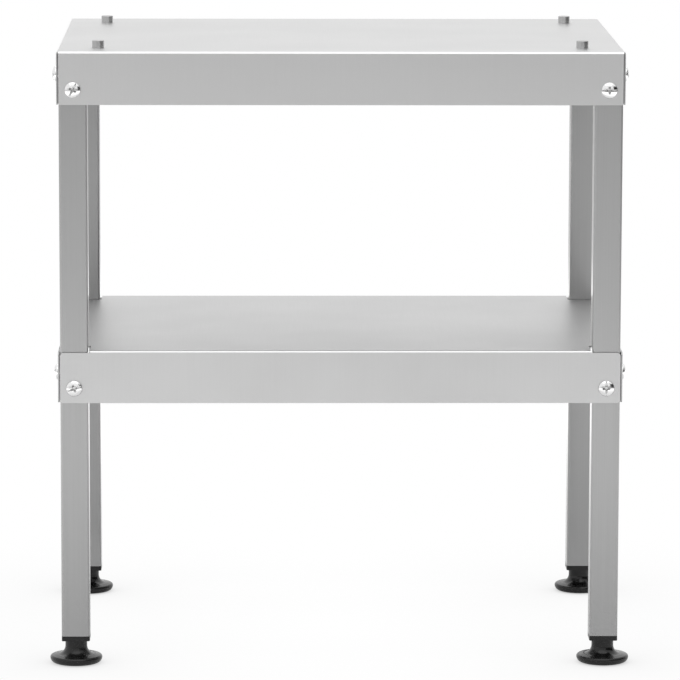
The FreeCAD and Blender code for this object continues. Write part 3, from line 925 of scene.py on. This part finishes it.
def hang(
    name: str, colour: str, points: list[tuple[float, float, float]], faces: list[tuple[int, ...]]
) -> None:
    """Hang a matt panel of the studio, which only shows in reflections.

    Args:
        name: the panel's name.
        colour: its sRGB hex colour.
        points: its corners.
        faces: its faces, by the numbers of their corners.
    """
    mesh = bpy.data.meshes.new(name)
    mesh.from_pydata(points, [], faces)
    panel = bpy.data.objects.new(name, mesh)
    panel.visible_camera = False
    bpy.context.scene.collection.objects.link(panel)
    material = bpy.data.materials.new(f"{name}_matt")
    material.use_nodes = True
    tree = material.node_tree
    tree.nodes.clear()
    matt = add_node(tree, "BsdfDiffuse", {"Color": linear(colour)})
    add_node(tree, "OutputMaterial", {"Surface": matt.outputs[0]})
    mesh.materials.append(material)


@dataclass(frozen=True)
class Cloth:
    """A cloth that hangs in an arc round the stand and only shows in reflections."""

    name: str
    colour: str
    # Its ends, in degrees from the front towards the right
    bearings: tuple[float, float]
    place: float
    heights: tuple[float, float]
    steps: int = 24

    def build(self) -> None:
        """Build the cloth."""
        start, end = (math.radians(bearing) for bearing in self.bearings)
        angles = [start + (end - start) * step / self.steps for step in range(self.steps + 1)]
        points = [
            (self.place * math.sin(angle), -self.place * math.cos(angle), height)
            for angle in angles for height in self.heights
        ]
        hang(
            self.name, self.colour, points,
            [(i, i + 2, i + 3, i + 1) for i in range(0, 2 * self.steps, 2)],
        )


@dataclass(frozen=True)
class Softbox:
    """A broad soft light that hangs level, in front of the stand or behind it."""

    name: str
    radiance: float
    # How far it reaches back from the stand's middle, from its front end to its rear end
    reach: tuple[float, float]
    width: float = 2.6
    height: float = 2.4
    # Its opaque back lies a little above it
    back_rise: float = 0.03
    back_colour: str = "#202020"

    def build(self) -> None:
        """Build the light and its back, which only show in reflections."""
        front, rear = self.reach
        lamp = bpy.data.lights.new(self.name, "AREA")
        lamp.shape = "RECTANGLE"
        lamp.size = self.width
        lamp.size_y = rear - front
        lamp.energy = self.radiance * math.pi * lamp.size * lamp.size_y
        hung = bpy.data.objects.new(self.name, lamp)
        hung.location = (0.0, (front + rear) / 2, self.height)
        hung.visible_camera = False
        bpy.context.scene.collection.objects.link(hung)
        half, top = self.width / 2, self.height + self.back_rise
        corners = [(-half, front, top), (half, front, top), (half, rear, top), (-half, rear, top)]
        hang(f"{self.name}_back", self.back_colour, corners, [(0, 1, 2, 3)])


@dataclass
class Studio:
    """A plain pale floor under two broad soft lights, with white all round."""

    floor_radius: float = 8.0
    floor_sides: int = 96
    # The floor lies just clear of the soles
    floor_drop: float = 0.3 * MM
    floor_colour: str = "#E4E4E4"
    # How far off a piece still shades the floor, and how much white it can take from it
    shade_reach: float = 0.22
    shade_depth: float = 0.42
    # The floor's glow that reflections see: dimmed under the stand as painted shadow, full round it, and
    # dimmed far off as painted fall-off of light
    under_stand_glow_painted_shadow: float = 0.20
    mid_lift: float = 0.88
    far_glow_painted_falloff: float = 0.02
    # Where one gives way to the next, in distances from the stand's middle
    near_ends: tuple[float, float] = (0.35, 1.1)
    far_starts: tuple[float, float] = (1.6, 2.2)
    # The surround's strength where it lights the stand
    surround: float = 0.72
    # Nothing hangs right over the stand, so that its plate isn't dazzling from above
    softboxes: tuple[Softbox, ...] = (
        Softbox("rear_softbox", 1.65, (0.5, 2.8)),
        Softbox("front_softbox", 1.65, (-2.8, -0.3)),
    )
    cloths: tuple[Cloth, ...] = (
        Cloth("pale_curtain", "#E6E6E6", (-42.0, 42.0), 5.6, (0.25, 0.9)),
        Cloth("dark_skirting", "#5C5C5C", (-22.0, 118.0), 4.2, (0.0, 0.30)),
        Cloth("dark_side_screen", "#303030", (34.0, 115.0), 3.2, (0.3, 1.9)),
    )

    def build(self) -> None:
        """Build the floor, the cloths, the lights and the surround."""
        self.build_floor()
        for part in (*self.cloths, *self.softboxes):
            part.build()
        self.build_surround()

    def shown_white(self, tree: bpy.types.NodeTree) -> tuple[bpy.types.Node, bpy.types.NodeSocket]:
        """Tell the rays that see the white background from those that light the stand.

        Args:
            tree: the node tree of the floor or of the world.

        Returns:
            The light path's node, and an output that is one for the rays that see the background.
        """
        path = add_node(tree, "LightPath", {})
        seen = path.outputs["Is Camera Ray"]
        for kind in ("Is Glossy Ray", "Is Transmission Ray"):
            seen = add_node(tree, "Math", {0: seen, 1: path.outputs[kind]}, operation="MAXIMUM").outputs[0]
        return path, seen

    def build_floor(self) -> None:
        """Lay a pale floor that fades into the white surround."""
        mesh = bpy.data.meshes.new("floor")
        shape = bmesh.new()
        bmesh.ops.create_circle(
            shape, cap_ends=True, segments=self.floor_sides, radius=self.floor_radius
        )
        shape.to_mesh(mesh)
        shape.free()
        floor = bpy.data.objects.new("floor", mesh)
        floor.location.z = -self.floor_drop
        bpy.context.scene.collection.objects.link(floor)
        material = bpy.data.materials.new("floor_paper_matt")
        material.use_nodes = True
        tree = material.node_tree
        tree.nodes.clear()
        self.draw_floor(tree)
        mesh.materials.append(material)

    def draw_floor(self, tree: bpy.types.NodeTree) -> None:
        """Draw the floor's paper and what the camera sees of it.

        The camera sees the surround through the floor, less the stand's shadow, so that feet screwed
        out below its level still show.

        Args:
            tree: the node tree of the floor's material.
        """
        path, seen = self.shown_white(tree)
        where = add_node(tree, "NewGeometry", {})
        far = add_node(tree, "VectorMath", {0: where.outputs["Position"]}, operation="LENGTH")
        far = far.outputs["Value"]
        # Painted shadow under the stand and painted fall-off of light far off, in the glow that reflections
        # see
        rise = add_node(tree, "MapRange", {
            "Value": far, "From Min": self.near_ends[0], "From Max": self.near_ends[1],
            "To Min": self.under_stand_glow_painted_shadow, "To Max": self.mid_lift,
        }, interpolation_type="SMOOTHSTEP")
        fall = add_node(tree, "MapRange", {
            "Value": far, "From Min": self.far_starts[0], "From Max": self.far_starts[1],
            "To Min": 0.0, "To Max": self.mid_lift - self.far_glow_painted_falloff,
        }, interpolation_type="SMOOTHSTEP")
        lift = add_node(tree, "Math", {0: rise.outputs[0], 1: fall.outputs[0]}, operation="SUBTRACT")
        lift = add_node(tree, "Math", {0: seen, 1: lift.outputs[0]}, operation="MULTIPLY")
        paper = add_node(tree, "BsdfDiffuse", {"Color": linear(self.floor_colour)})
        glow = add_node(tree, "Emission", {"Strength": lift.outputs[0]})
        lit = add_node(tree, "AddShader", {0: paper.outputs[0], 1: glow.outputs[0]})
        # The shadow ends round the stand, so that the cloths cast none
        deepest = add_node(tree, "MapRange", {
            "Value": far, "From Min": self.near_ends[0], "From Max": self.near_ends[1],
            "To Min": 1.0 - self.shade_depth, "To Max": 1.0,
        })
        open_sky = add_node(tree, "AmbientOcclusion", {"Distance": self.shade_reach})
        white = add_node(
            tree, "MapRange", {"Value": open_sky.outputs["AO"], "To Min": deepest.outputs[0]}
        )
        through = add_node(tree, "BsdfTransparent", {"Color": white.outputs[0]})
        shown = add_node(
            tree, "MixShader",
            {0: path.outputs["Is Camera Ray"], 1: lit.outputs[0], 2: through.outputs[0]},
        )
        add_node(tree, "OutputMaterial", {"Surface": shown.outputs[0]})

    def build_surround(self) -> None:
        """Put white all round: full white where it is seen, and softer where it lights the stand."""
        world = bpy.data.worlds.new("studio")
        world.use_nodes = True
        tree = world.node_tree
        tree.nodes.clear()
        _, seen = self.shown_white(tree)
        level = add_node(tree, "Mix", {0: seen, 2: self.surround, 3: 1.0}, data_type="FLOAT")
        white = add_node(tree, "Background", {"Color": linear("#FFFFFF"), "Strength": level.outputs[0]})
        add_node(tree, "OutputWorld", {"Surface": white.outputs[0]})
        bpy.context.scene.world = world


@dataclass
class Viewpoint:
    """Where the photograph was taken from: well back with a long lens, a little above the stand."""

    place: tuple[float, float, float] = (-0.0582, -3.5249, 0.7448)
    turned_right: float = 0.978
    tilted_down: float = 8.568
    rolled: float = 0.141
    lens_mm: float = 256.2
    # How far the camera sees, past the floor's far edge
    sight: float = 100.0

    def build(self) -> None:
        """Set up the camera."""
        camera = bpy.data.cameras.new("camera")
        camera.lens = self.lens_mm
        camera.clip_end = self.sight
        holder = bpy.data.objects.new("camera", camera)
        yaw = Matrix.Rotation(-math.radians(self.turned_right), 4, "Z")
        tilt = Matrix.Rotation(math.radians(90 - self.tilted_down), 4, "X")
        roll = Matrix.Rotation(math.radians(self.rolled), 4, "Z")
        holder.matrix_world = Matrix.Translation(self.place) @ yaw @ tilt @ roll
        bpy.context.scene.collection.objects.link(holder)
        bpy.context.scene.camera = holder


def main() -> None:
    """Dress the stand, piece by piece, and set it in its studio."""
    logging.basicConfig(level=logging.INFO, format="%(name)s: %(message)s")
    feet = LevellingFeet()
    PanHeadScrews().build()
    feet.build()
    for assembly in (Trays(), Legs(), LocatingPins(), feet):
        assembly.dress()
    Studio().build()
    Viewpoint().build()
    bpy.context.scene.view_settings.view_transform = "Standard"


if __name__ == "__main__":
    main()
